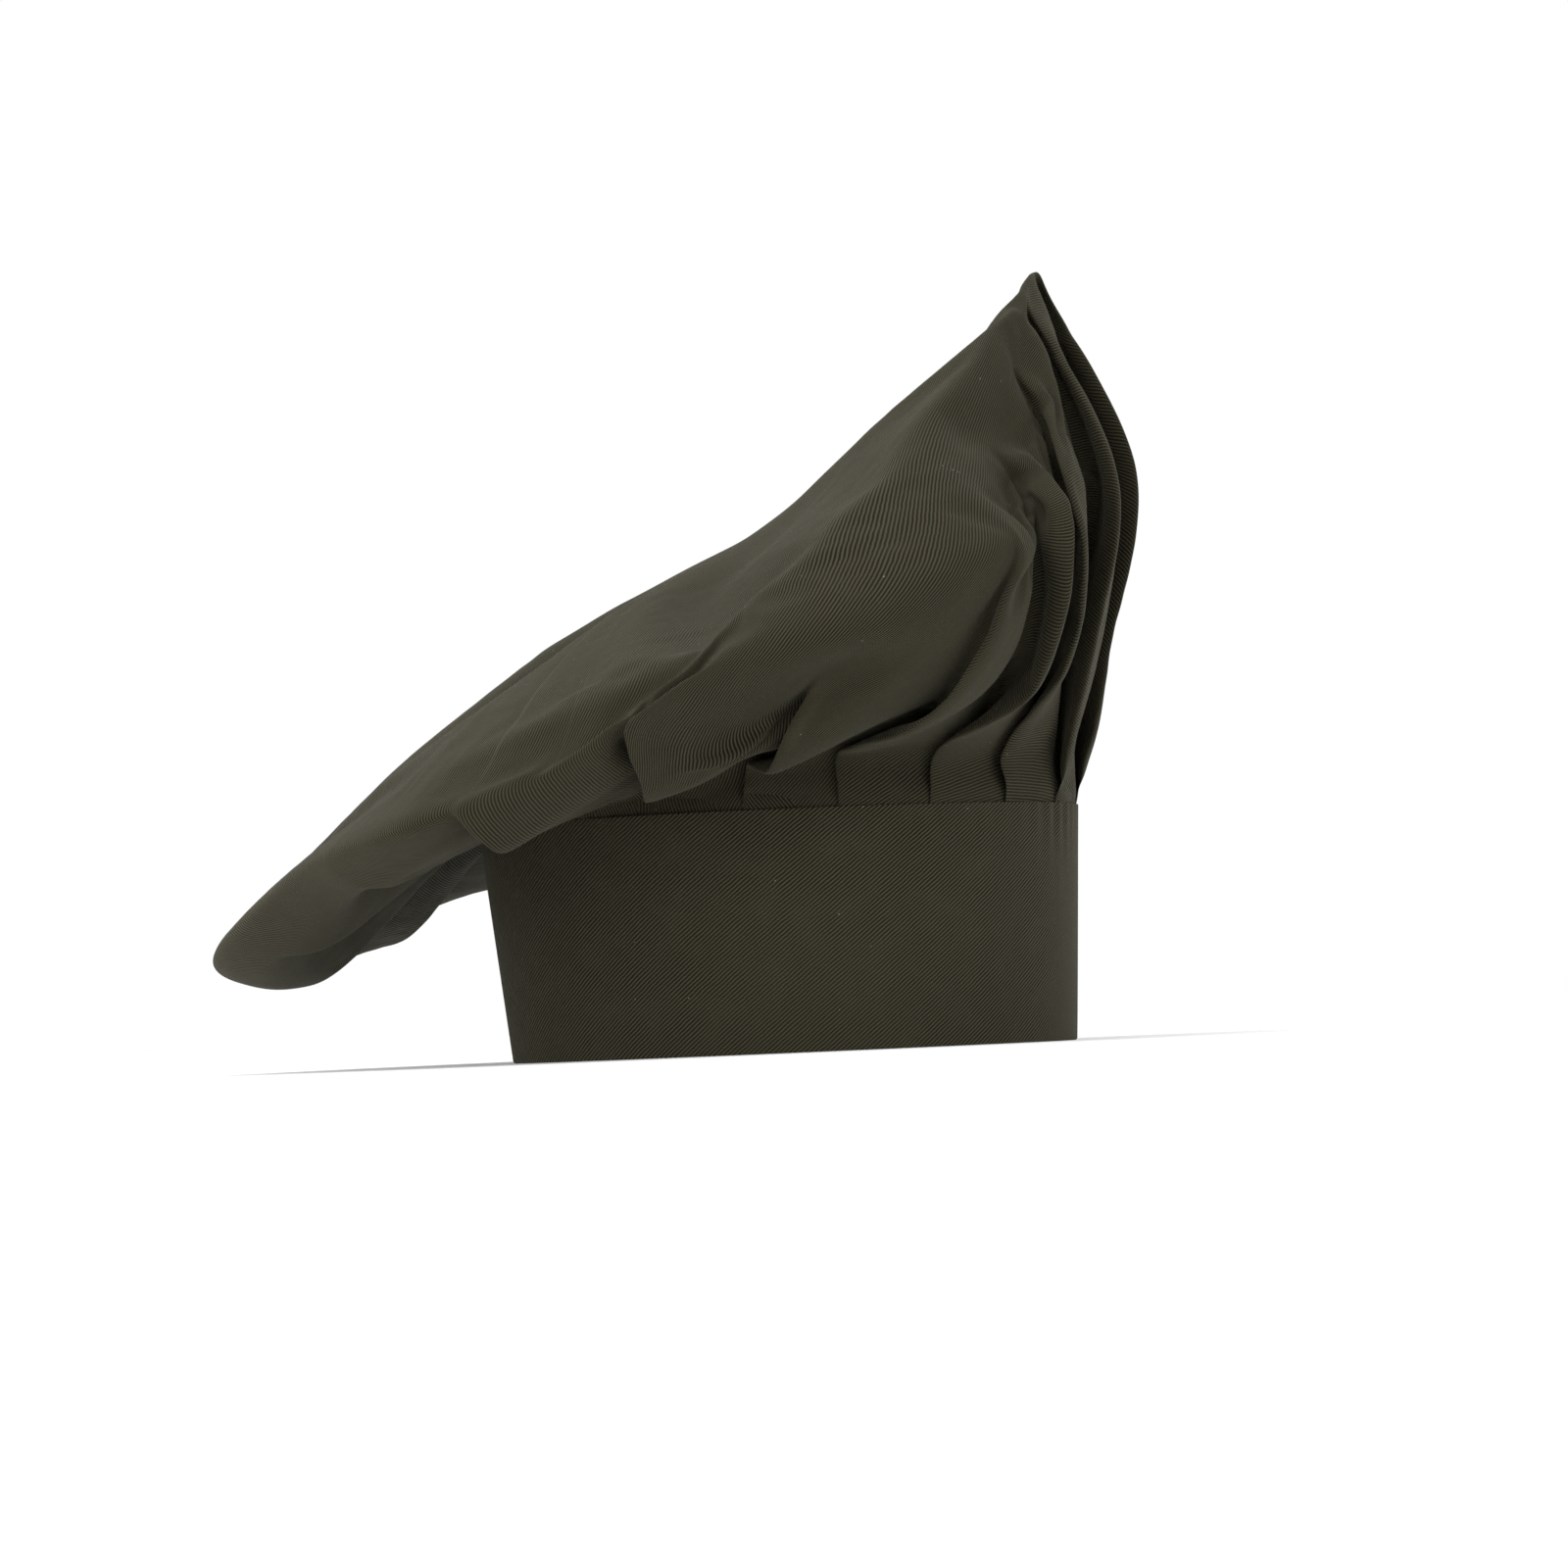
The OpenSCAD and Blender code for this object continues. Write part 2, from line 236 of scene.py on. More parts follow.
def push_hollows(points, angles, s):
    for angle, up, half_turn, half_up, depth in HOLLOWS:
        off = (angles - angle + 180) % 360 - 180
        weight = np.exp(-((off / half_turn) ** 2))[:, None] * np.exp(-(((s - up) / half_up) ** 2))
        turn = math.radians(angle)
        outward = np.array([math.cos(turn), math.sin(turn), 0.15])
        points -= (weight * depth)[:, :, None] * outward
    return points


class Pleater:
    """Folds rings of the flat circle of cloth onto the crown's surface as knife pleats."""

    def __init__(self):
        self.angles, self.s, points, self.ribs = crown_surface()
        self.points = push_hollows(points, self.angles, self.s)
        round_step = np.roll(self.points, -1, 0) - np.roll(self.points, 1, 0)
        up_step = np.gradient(self.points, axis=1)
        normals = np.cross(round_step, up_step)
        normals /= np.maximum(np.linalg.norm(normals, axis=2, keepdims=True), 1e-9)
        normals[:, -4:] = normals[:, -5:-4].mean(0)
        self.normals = normals
        room = np.linalg.norm(round_step, axis=2) / 2 * TURNS / PLEATS
        width = TURNS // PLEATS
        kernel = np.ones(width) / width
        padded = np.concatenate([room[-width:], room, room[:width]])
        self.room = np.stack([np.convolve(c, kernel, "same")[width:-width] for c in padded.T], 1)

    def look_up(self, array, turn, s):
        x = (turn % 1.0) * TURNS
        i = np.floor(x).astype(int)
        fx = x - i
        i %= TURNS
        y = min(max(s / CUT_RADIUS * (LEVELS - 1), 0), LEVELS - 1 - 1e-6)
        j = int(y)
        fy = y - j
        if array.ndim == 3:
            fx = fx[:, None]
        here = (1 - fx) * array[i, j] + fx * array[(i + 1) % TURNS, j]
        above = (1 - fx) * array[i, j + 1] + fx * array[(i + 1) % TURNS, j + 1]
        return (1 - fy) * here + fy * above

    def fanned(self, turn, fan):
        """Draws the pleats together at the front and spreads them at the back."""
        return turn - fan * np.sin(2 * math.pi * turn) / (2 * math.pi)

    def ring(self, radius, turn):
        """Points of one ring of the circle, folded: radius in the flat, turns round it."""
        s = CUT_RADIUS - radius
        count = turn * PLEATS - PLEAT_PHASE
        pleat = np.floor(count + 1e-9)
        part = count - pleat
        middle = (pleat + 0.5 + PLEAT_PHASE) / PLEATS
        fan = FAN * math.sin(math.pi * min(max(s - FAN_FROM, 0) / FAN_OVER, 1.0)) ** 2
        widened = 1 - fan * np.cos(2 * math.pi * middle)
        room = self.look_up(self.room, self.fanned(middle, fan), s) * widened
        excess = 2 * math.pi * radius / PLEATS / np.maximum(room, 1e-3)
        excess = np.clip(excess, 1.0, MOST_CLOTH if s < PLEATED_TO else 1.0)
        run = (excess + 1) / 2
        laid = part * excess
        place = np.where(laid <= run, laid, 2 * run - laid)
        loose = min(max(s - TUCKED - LOOSE_FROM, 0) / LOOSE_OVER, 1.0)
        spacing = np.ones_like(turn)
        for angle, spread, change in SPACING_CHANGES:
            off = (middle * 360 - angle + 180) % 360 - 180
            spacing += change * np.exp(-((off / spread) ** 2)) * loose
        closing = max(0.0, 1 - max(0, s - CLOSING_FROM) / CLOSING_OVER)
        gap = (PLEAT_TIGHT + PLEAT_LOOSE * loose * spacing) * closing
        inward = 2 * gap * place - np.where(laid <= run, 0, gap)
        inward = inward * np.clip((excess - 1) / 0.3, 0, 1)
        where = self.fanned((pleat + place + PLEAT_PHASE) / PLEATS, fan)
        offset = self.look_up(self.normals, where, s) * inward[:, None]
        return self.look_up(self.points, where, s) - offset, where % 1.0


def crown_pattern(pleater):
    """Rings of the cut circle: folded places, flat places, faces, and for each vertex its radius
    and turn in the flat and the turn where it was laid."""
    n = PLEATS * COLUMNS
    radius = CUT_RADIUS
    verts, flat, faces, polar = [], [], [], []
    previous = None
    while radius > 6:
        while 2 * math.pi * radius / n < 0.55 * RING_STEP and n % 2 == 0:
            n //= 2
        turn = np.arange(n) / n
        a = 2 * math.pi * turn
        start = len(verts)
        placed, placed_turn = pleater.ring(radius, turn)
        verts += placed.tolist()
        flat += np.stack([radius * np.cos(a), radius * np.sin(a), 0 * a], 1).tolist()
        polar += [(radius, t, p) for t, p in zip(turn, placed_turn)]
        if previous:
            p, m = previous
            for j in range(n):
                k = (j + 1) % n
                if m == n:
                    faces.append((p + j, p + k, start + k, start + j))
                else:
                    faces.append((p + 2 * j, p + 2 * j + 1, p + (2 * j + 2) % m, start + k, start + j))
        previous = (start, n)
        radius -= RING_STEP
    p, m = previous
    tip = len(verts)
    verts.append(np.mean(verts[p:], axis=0).tolist())
    flat.append((0.0, 0.0, 0.0))
    polar.append((0.0, 0.0, 0.0))
    for j in range(m):
        faces.append((p + j, p + (j + 1) % m, tip))
    return np.array(verts), np.array(flat), faces, np.array(polar)


# ---------------------------------------------------------------- crown: the cloth settles
SIM = 0.01                # simulation metres to a millimetre: ten times life size
SETTLE_FRAMES = 40


def hold_weights(pleater, polar):
    """How firmly each vertex is held: the seam fully, the rim, the fullest line and the line from
    front to back softly."""
    radius, turn = polar[:, 0], polar[:, 1]
    s = CUT_RADIUS - radius
    column = (polar[:, 2] * TURNS).astype(int) % TURNS
    weight = np.full(len(polar), 0.12)
    side = radius * np.sin(2 * math.pi * turn)
    weight[(np.abs(side) < 8) & (radius > 20)] = 0.3
    for k, hold in ((3, 0.4), (2, 0.25)):
        target = pleater.ribs[:, None, k]
        level = np.argmin(np.linalg.norm(pleater.points - target, axis=2), axis=1)
        weight[np.abs(s - pleater.s[level][column]) < 5] = hold
    weight[s < 6] = 1.0
    return weight


def add_collider(name, points, faces):
    mesh = bpy.data.meshes.new(name)
    mesh.from_pydata(points, [], faces)
    obj = bpy.data.objects.new(name, mesh)
    bpy.context.scene.collection.objects.link(obj)
    obj.modifiers.new("solid", "COLLISION")
    obj.collision.thickness_outer = 0.012
    obj.collision.thickness_inner = 0.1
    obj.collision.cloth_friction = 20
    return obj


def head_form():
    """A closed form that fills the band and rises under the crown, as a head would."""
    levels = [(1.0, 0), (1.0, 30), (1.0, 60), (1.0, 78), (0.985, 82), (0.93, 90), (0.85, 98),
              (0.72, 107), (0.55, 116), (0.35, 122), (0.15, 125)]
    n = 64
    points = []
    for scale, z in levels:
        for j in range(n):
            x, y, _ = band_point(j * 360 / n, 3.2, min(z, BAND_HEIGHT))
            points.append((SIM * x * scale, SIM * y * scale, SIM * z))
    rows = len(levels)
    faces = [
        (i * n + j, i * n + (j + 1) % n, (i + 1) * n + (j + 1) % n, (i + 1) * n + j)
        for i in range(rows - 1) for j in range(n)
    ]
    faces.append(tuple((rows - 1) * n + j for j in range(n)))
    return add_collider("head_form", points, faces)


def settle_crown(pleater, start, flat, faces, polar):
    """Lets the pleated circle settle as cloth, with its flat cut as the rest shape. Millimetres."""
    mesh = bpy.data.meshes.new("settling")
    mesh.from_pydata((start * SIM).tolist(), [], faces)
    obj = bpy.data.objects.new("settling", mesh)
    bpy.context.scene.collection.objects.link(obj)
    obj.shape_key_add(name="Basis")
    cut = obj.shape_key_add(name="cut")
    cut.data.foreach_set("co", (flat * SIM).astype(np.float32).ravel())
    cut.value = 0
    hold = obj.vertex_groups.new(name="hold")
    weight = hold_weights(pleater, polar)
    for value in np.unique(weight):
        hold.add([int(i) for i in np.nonzero(weight == value)[0]], float(value), "REPLACE")
    caught = obj.vertex_groups.new(name="caught")
    caught.add([int(i) for i in np.nonzero(polar[:, 0] > CUT_RADIUS - 20)[0]], 1.0, "REPLACE")
    form = head_form()
    modifier = obj.modifiers.new("Cloth", "CLOTH")
    cloth = modifier.settings
    cloth.quality = 6
    cloth.mass = 0.15
    cloth.tension_stiffness = 25
    cloth.compression_stiffness = 25
    cloth.shear_stiffness = 12
    cloth.bending_stiffness = 8
    cloth.tension_damping = 8
    cloth.compression_damping = 8
    cloth.shear_damping = 8
    cloth.bending_damping = 1
    cloth.air_damping = 3
    cloth.vertex_group_mass = "hold"
    cloth.pin_stiffness = 1.0
    cloth.rest_shape_key = cut
    cloth.effector_weights.gravity = 0.15
    contact = modifier.collision_settings
    contact.use_collision = True
    contact.distance_min = 0.012
    contact.use_self_collision = True
    contact.self_distance_min = 0.012
    contact.self_friction = 5
    contact.vertex_group_self_collisions = "caught"
    contact.collision_quality = 3
    modifier.point_cache.frame_start = 1
    modifier.point_cache.frame_end = SETTLE_FRAMES
    scene = bpy.context.scene
    for number in range(1, SETTLE_FRAMES + 1):
        scene.frame_set(number)
    evaluated = obj.evaluated_get(bpy.context.evaluated_depsgraph_get())
    settled = evaluated.to_mesh()
    co = np.zeros(len(settled.vertices) * 3, np.float32)
    settled.vertices.foreach_get("co", co)
    evaluated.to_mesh_clear()
    scene.frame_set(1)
    for used in (obj, form):
        data = used.data
        bpy.data.objects.remove(used)
        bpy.data.meshes.remove(data)
    return co.reshape(-1, 3).astype(float) / SIM


def ease_centre(points, faces, radius):
    """Takes the pinch out of the middle of the crown, where the rings of cloth run to a point."""
    edges = np.array([(face[i - 1], face[i]) for face in faces for i in range(len(face))])
    neighbours = np.maximum(np.bincount(edges[:, 0], minlength=len(points)), 1)[:, None]
    share = 0.5 * np.clip((80.0 - radius) / 45.0, 0, 1)[:, None]
    for _ in range(60):
        total = np.zeros_like(points)
        np.add.at(total, edges[:, 0], points[edges[:, 1]])
        points = points + share * (total / neighbours - points)
    return points


# ---------------------------------------------------------------- mesh helpers
def shared_angles(start, end, step):
    """Angles from start to end, the ones between on a grid that all swept pieces share."""
    inner = np.arange(math.floor(start / step) + 1, math.ceil(end / step)) * step
    return np.concatenate([[start], inner, [end]])


def tab_shift(angle):
    """How far outside the band the tab lies at an angle."""
    t = np.clip((TAB_ROOT - np.asarray(angle, float)) / TAB_RAMP, 0, 1)
    return (TAB_RISE + BAND_THICK) * t * t * (3 - 2 * t)


def build(name, points, faces, uvs=None):
    """A mesh object from millimetre points, with one flat place in metres for each point if given."""
    mesh = bpy.data.meshes.new(name)
    mesh.from_pydata((np.asarray(points, float) * MM).tolist(), [], faces)
    if uvs is not None:
        layer = mesh.uv_layers.new(name="cloth")
        corner = np.zeros(len(mesh.loops), np.int32)
        mesh.loops.foreach_get("vertex_index", corner)
        layer.data.foreach_set("uv", (np.asarray(uvs, float) * MM)[corner].astype(np.float32).ravel())
    for polygon in mesh.polygons:
        polygon.use_smooth = True
    obj = bpy.data.objects.new(name, mesh)
    bpy.context.scene.collection.objects.link(obj)
    return obj


def tube_faces(rows, columns, first=0):
    """Quads round a tube of rows x columns points, and one face over each of its ends."""
    faces = []
    for i in range(rows - 1):
        for j in range(columns):
            a = first + i * columns + j
            b = first + i * columns + (j + 1) % columns
            faces.append((a, a + columns, b + columns, b))
    faces.append(tuple(first + j for j in range(columns)))
    faces.append(tuple(first + (rows - 1) * columns + j for j in reversed(range(columns))))
    return faces


def arc_length(angles, depth, z):
    """Distance run round the band at each angle."""
    points = band_point(angles, depth, z)
    return np.concatenate([[0], np.cumsum(np.linalg.norm(np.diff(points, axis=0), axis=1))])


def swept(name, angles, section, place):
    """A section of (depth, height, distance round the cloth) carried along a list of angles."""
    along = arc_length(angles, 0, BAND_HEIGHT / 2)
    points, uvs = [], []
    for angle, u in zip(angles, along):
        for depth, z, v in section:
            points.append(place(angle, depth, z))
            uvs.append((u, v))
    return build(name, points, tube_faces(len(angles), len(section)), uvs)


def rounded(section, radius, steps=4):
    """A closed section of (depth, height) with its corners rounded, and distance run along it."""
    out = []
    n = len(section)
    for i in range(n):
        p = np.array(section[i - 1], float)
        q = np.array(section[i], float)
        r = np.array(section[(i + 1) % n], float)
        reach = min(radius, 0.49 * np.linalg.norm(q - p), 0.49 * np.linalg.norm(r - q))
        a = q + (p - q) / np.linalg.norm(p - q) * reach
        b = q + (r - q) / np.linalg.norm(r - q) * reach
        for k in range(steps + 1):
            t = k / steps
            out.append((1 - t) ** 2 * a + 2 * t * (1 - t) * q + t * t * b)
    run = 0.0
    points = []
    for i, point in enumerate(out):
        if i:
            run += float(np.linalg.norm(point - out[i - 1]))
        points.append((float(point[0]), float(point[1]), run))
    return points


def refined(section, step):
    """The same closed section with no stretch longer than step."""
    out = []
    n = len(section)
    for i in range(n):
        a, b = section[i], section[(i + 1) % n]
        out.append(a)
        length = math.hypot(b[0] - a[0], b[1] - a[1])
        count = int(length / step)
        for k in range(1, count + 1):
            t = k / (count + 1)
            out.append((a[0] + (b[0] - a[0]) * t, a[1] + (b[1] - a[1]) * t, a[2] + length * t))
    return out


def capsule(points, faces, start, end, outward, width, proud):
    """Adds one stitch: a short rounded bar of thread from start to end, bowed outward."""
    start, end, outward = (np.asarray(v, float) for v in (start, end, outward))
    along = end - start
    length = np.linalg.norm(along)
    along /= length
    across = np.cross(along, outward)
    across /= np.linalg.norm(across)
    first = len(points)
    rows = ((0.0, 0.25, -0.15), (0.12, 0.8, 0.2), (0.5, 1.0, 0.5), (0.88, 0.8, 0.2), (1.0, 0.25, -0.15))
    sides = 6
    for t, fat, rise in rows:
        middle = start + along * length * t + outward * proud * rise
        for j in range(sides):
            a = 2 * math.pi * j / sides
            points.append(
                middle + across * math.cos(a) * fat * width / 2 + outward * math.sin(a) * fat * proud / 2
            )
    faces += tube_faces(len(rows), sides, first)


def stitch_line(points, faces, place, path, depth, sign, length=2.6, gap=0.5, width=0.42, proud=0.34):
    """Stitches along a path of (angle, height), lying on the face at a depth; sign is +1 for inside."""
    path = np.asarray(path, float)
    placed = np.array([place(a, depth, z) for a, z in path])
    steps = np.linalg.norm(np.diff(placed, axis=0), axis=1)
    run = np.concatenate([[0], np.cumsum(steps)])
    count = max(1, int(round(run[-1] / (length + gap))))
    pitch = run[-1] / count
    for i in range(count):
        ends = []
        for t in (i * pitch + gap / 2, (i + 1) * pitch - gap / 2):
            angle = float(np.interp(t, run, path[:, 0]))
            z = float(np.interp(t, run, path[:, 1]))
            ends.append((angle, z))
        a, b = (np.asarray(place(angle, depth, z)) for angle, z in ends)
        angle, z = ends[0]
        outward = np.asarray(place(angle, depth + sign, z)) - a
        outward /= np.linalg.norm(outward)
        capsule(points, faces, a, b, outward, width, proud)


def box_path(start, end, low, high, step=1.25):
    """A rectangle of stitching as a list of (angle, height)."""
    angles = np.arange(start, end, step).tolist() + [end]
    return (
        [(a, low) for a in angles] + [(end, z) for z in (low, (low + high) / 2, high)][1:]
        + [(a, high) for a in reversed(angles)][1:] + [(start, (low + high) / 2), (start, low)]
    )


def on_band(angle, depth, z):
    return band_point(angle, depth, z)


def on_tab(angle, depth, z):
    return band_point(angle, depth - tab_shift(angle), z)


# ---------------------------------------------------------------- materials
class Shader:
    """A node material round one Principled shader, with short names for the nodes used here."""

    def __init__(self, name, roughness, specular=0.3):
        self.material = bpy.data.materials.new(name)
        self.material.use_nodes = True
        self.nodes = self.material.node_tree.nodes
        self.links = self.material.node_tree.links
        self.bsdf = self.nodes["Principled BSDF"]
        self.bsdf.inputs["Roughness"].default_value = roughness
        self.bsdf.inputs["Specular IOR Level"].default_value = specular

    def put(self, value, socket):
        if isinstance(value, bpy.types.NodeSocket):
            self.links.new(value, socket)
        else:
            socket.default_value = value

    def math(self, operation, *values):
        node = self.nodes.new("ShaderNodeMath")
        node.operation = operation
        for i, value in enumerate(values):
            self.put(value, node.inputs[i])
        return node.outputs[0]

    def scaled(self, value, low, high, out_low=0.0, out_high=1.0):
        node = self.nodes.new("ShaderNodeMapRange")
        node.interpolation_type = "SMOOTHSTEP"
        for name, v in (("Value", value), ("From Min", low), ("From Max", high),
                        ("To Min", out_low), ("To Max", out_high)):
            self.put(v, node.inputs[name])
        return node.outputs["Result"]

    def blend(self, share, a, b):
        node = self.nodes.new("ShaderNodeMix")
        node.data_type = "RGBA"
        self.put(share, node.inputs[0])
        self.put(a, node.inputs[6])
        self.put(b, node.inputs[7])
        return node.outputs[2]

    def noise(self, vector, scale, detail=3.0):
        node = self.nodes.new("ShaderNodeTexNoise")
        self.put(vector, node.inputs["Vector"])
        node.inputs["Scale"].default_value = scale
        node.inputs["Detail"].default_value = detail
        return node.outputs["Fac"]

    def cloth_place(self):
        """The place in the flat cloth, in metres, and its two parts."""
        node = self.nodes.new("ShaderNodeUVMap")
        node.uv_map = "cloth"
        parts = self.nodes.new("ShaderNodeSeparateXYZ")
        self.links.new(node.outputs["UV"], parts.inputs[0])
        return node.outputs["UV"], parts.outputs[0], parts.outputs[1]

    def object_place(self):
        return self.nodes.new("ShaderNodeTexCoord").outputs["Object"]

    def bump(self, height, distance):
        node = self.nodes.new("ShaderNodeBump")
        node.inputs["Strength"].default_value = 1.0
        node.inputs["Distance"].default_value = distance
        self.put(height, node.inputs["Height"])
        self.links.new(node.outputs["Normal"], self.bsdf.inputs["Normal"])

    def colour(self, value):
        self.put(value, self.bsdf.inputs["Base Color"])


def twill(name, slope, tone, creased=False, dusty=0.5):
    """Black cotton twill. slope is the angle of its ridges in the flat cloth, in degrees; tone makes
    its threads lighter or darker; dusty is how bright its specks of lint are."""
    light = (*(c * tone for c in TWILL_LIGHT), 1)
    worn = (*(c * tone for c in TWILL_WORN), 1)
    s = Shader(name, roughness=0.88, specular=0.14)
    uv, u, v = s.cloth_place()
    a = math.radians(slope)
    wander = s.math("MULTIPLY", s.math("SUBTRACT", s.noise(uv, 180.0, 2.0), 0.5), 0.5)
    across = s.math("SUBTRACT", s.math("MULTIPLY", v, math.cos(a)), s.math("MULTIPLY", u, math.sin(a)))
    along = s.math("ADD", s.math("MULTIPLY", u, math.cos(a)), s.math("MULTIPLY", v, math.sin(a)))
    ridge_count = s.math("ADD", s.math("DIVIDE", across, TWILL_PITCH), wander)
    ridge = s.math("SINE", s.math("MULTIPLY", ridge_count, 2 * math.pi))
    ridge = s.scaled(ridge, -1.0, 0.9)
    shift = s.math("MULTIPLY", s.math("FLOOR", ridge_count), 0.37)
    float_count = s.math("ADD", s.math("DIVIDE", along, TWILL_PITCH * 0.7), shift)
    floats = s.math("SINE", s.math("MULTIPLY", float_count, 2 * math.pi))
    height = s.math("MULTIPLY", ridge, s.scaled(floats, -1.0, 1.0, 0.72, 1.0))
    fuzz = s.noise(uv, 2600.0, 2.0)
    weave = s.math("ADD", height, s.math("MULTIPLY", fuzz, 0.35))
    colour = s.blend(s.scaled(weave, 0.2, 1.25), (*TWILL_DARK, 1), light)
    broad = s.scaled(s.noise(uv, 9.0, 4.0), 0.3, 0.7)
    colour = s.blend(s.math("MULTIPLY", broad, 0.25), colour, worn)
    mottled = s.scaled(s.noise(uv, 90.0, 3.0), 0.45, 0.75)
    colour = s.blend(s.math("MULTIPLY", mottled, 0.2), colour, worn)
    bump_height = weave
    if creased:
        mark = crease_mark(s, u, v)
        colour = s.blend(s.math("MULTIPLY", mark, 0.3), colour, (*CREASE_PALE, 1))
        bump_height = s.math("ADD", weave, s.math("MULTIPLY", mark, 0.8))
    speck = s.nodes.new("ShaderNodeTexVoronoi")
    s.put(uv, speck.inputs["Vector"])
    speck.inputs["Scale"].default_value = 130.0
    rare = s.math("GREATER_THAN", s.noise(uv, 31.0, 0.0), 0.52)
    near = s.math("LESS_THAN", speck.outputs["Distance"], 0.035)
    colour = s.blend(s.math("MULTIPLY", s.math("MULTIPLY", rare, near), dusty), colour, (*LINT, 1))
    s.colour(colour)
    s.bump(bump_height, 0.0002)
    s.bsdf.inputs["Sheen Weight"].default_value = 0.08
    s.bsdf.inputs["Sheen Roughness"].default_value = 0.4
    s.bsdf.inputs["Sheen Tint"].default_value = (0.84, 0.80, 0.58, 1)
    return s.material


def crease_mark(s, u, v):
    """Pressed-in lines where the pleats were ironed: straight lines towards the circle's centre, on
    the back of the crown's top."""
    radius = s.math("SQRT", s.math("ADD", s.math("MULTIPLY", u, u), s.math("MULTIPLY", v, v)))
    turn = s.math("ARCTAN2", v, u)
    mark = None
    for phase, width, strength in ((PLEAT_PHASE, 0.0011, 1.0), (PLEAT_PHASE + 0.42, 0.0009, 0.7)):
        half = math.pi / PLEATS
        off = s.math("WRAP", s.math("SUBTRACT", turn, 2 * half * phase), half, -half)
        distance = s.math("ABSOLUTE", s.math("MULTIPLY", off, radius))
        line = s.scaled(distance, 0.0, width, 1.0, 0.0)
        line = s.math("MULTIPLY", line, strength)
        mark = line if mark is None else s.math("MAXIMUM", mark, line)
    patchy = s.scaled(s.noise(s.nodes["UV Map"].outputs["UV"], 22.0, 3.0), 0.32, 0.55)
    on_top = s.math("MULTIPLY", s.scaled(radius, 0.03, 0.11), s.scaled(radius, 0.18, 0.25, 1.0, 0.0))
    along_slope = s.scaled(s.math("COSINE", turn), -0.75, -0.45, 1.0, 0.0)
    return s.math("MULTIPLY", s.math("MULTIPLY", mark, patchy), s.math("MULTIPLY", on_top, along_slope))


def plain_weave(name, colour, pitch, depth, roughness=0.9, sheen=0.1):
    s = Shader(name, roughness)
    place = s.object_place()
    parts = s.nodes.new("ShaderNodeSeparateXYZ")
    s.links.new(place, parts.inputs[0])
    round_way = s.math("ADD", parts.outputs[0], parts.outputs[1])
    warp = s.math("SINE", s.math("MULTIPLY", round_way, 2 * math.pi / pitch))
    weft = s.math("SINE", s.math("MULTIPLY", parts.outputs[2], 2 * math.pi / pitch))
    height = s.scaled(s.math("MULTIPLY", warp, weft), -1.0, 1.0)
    varied = s.scaled(s.noise(place, 60.0), 0.3, 0.7)
    dark = tuple(c * 0.72 for c in colour) + (1,)
    tone = s.blend(s.math("MULTIPLY", s.math("ADD", height, varied), 0.5), dark, (*colour, 1))
    s.colour(tone)
    s.bump(height, depth)
    s.bsdf.inputs["Sheen Weight"].default_value = sheen
    return s.material


def twisted_thread(name, colour):
    s = Shader(name, roughness=0.6, specular=0.4)
    place = s.object_place()
    wave = s.nodes.new("ShaderNodeTexWave")
    s.put(place, wave.inputs["Vector"])
    wave.inputs["Scale"].default_value = 900.0
    wave.inputs["Distortion"].default_value = 1.0
    dark = tuple(c * 0.5 for c in colour) + (1,)
    s.colour(s.blend(wave.outputs["Fac"], dark, (*colour, 1)))
    s.bump(wave.outputs["Fac"], 0.00008)
    return s.material


def nylon(name, colour):
    s = Shader(name, roughness=0.5, specular=0.45)
    place = s.object_place()
    tone = s.scaled(s.noise(place, 500.0), 0.35, 0.65)
    dark = tuple(c * 0.6 for c in colour) + (1,)
    s.colour(s.blend(tone, dark, (*colour, 1)))
    s.bump(s.noise(place, 1800.0), 0.00008)
    s.bsdf.inputs["Sheen Weight"].default_value = 0.15
    return s.material


def satin(name, colour):
    s = Shader(name, roughness=0.38, specular=0.5)
    uv, u, v = s.cloth_place()
    warp = s.math("SINE", s.math("MULTIPLY", u, 2 * math.pi / 0.0003))
    weft = s.math("SINE", s.math("MULTIPLY", v, 2 * math.pi / 0.0011))
    height = s.scaled(s.math("ADD", warp, s.math("MULTIPLY", weft, 0.4)), -1.4, 1.4)
    varied = s.scaled(s.noise(uv, 120.0), 0.3, 0.7)
    dark = tuple(c * 0.86 for c in colour) + (1,)
    s.colour(s.blend(s.math("MULTIPLY", s.math("ADD", height, varied), 0.5), dark, (*colour, 1)))
    s.bump(height, 0.00004)
    s.bsdf.inputs["Anisotropic"].default_value = 0.5
    return s.material


TWILL_PITCH = 0.00111
TWILL_DARK = (0.0040, 0.0034, 0.0014)
TWILL_LIGHT = (0.060, 0.0545, 0.0310)
TWILL_WORN = (0.040, 0.0370, 0.0215)
CREASE_PALE = (0.090, 0.087, 0.060)
LINT = (0.32, 0.32, 0.29)

crown_twill = twill("crown_twill", slope=45.0, tone=0.92, creased=True)
band_twill = twill("band_twill", slope=38.0, tone=1.12, dusty=0.35)
tab_twill = twill("tab_twill", slope=38.0, tone=1.12, dusty=0.35)
interlining_white = plain_weave("interlining_white", (0.62, 0.62, 0.58), 0.0009, 0.00008)
thread_black = twisted_thread("thread_black", (0.022, 0.022, 0.018))
loop_nylon = nylon("loop_nylon", (0.020, 0.020, 0.019))
hook_nylon = nylon("hook_nylon", (0.016, 0.016, 0.016))
label_satin = satin("label_satin", (0.80, 0.80, 0.77))


# ---------------------------------------------------------------- pieces
STITCH_OFF = 0.12          # how far a line of stitching stands off the face it is sewn through


def finish_piece(obj, body, node, material):
    obj.data.materials.append(material)
    if body:
        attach(obj, body)
    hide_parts(node)
    return obj


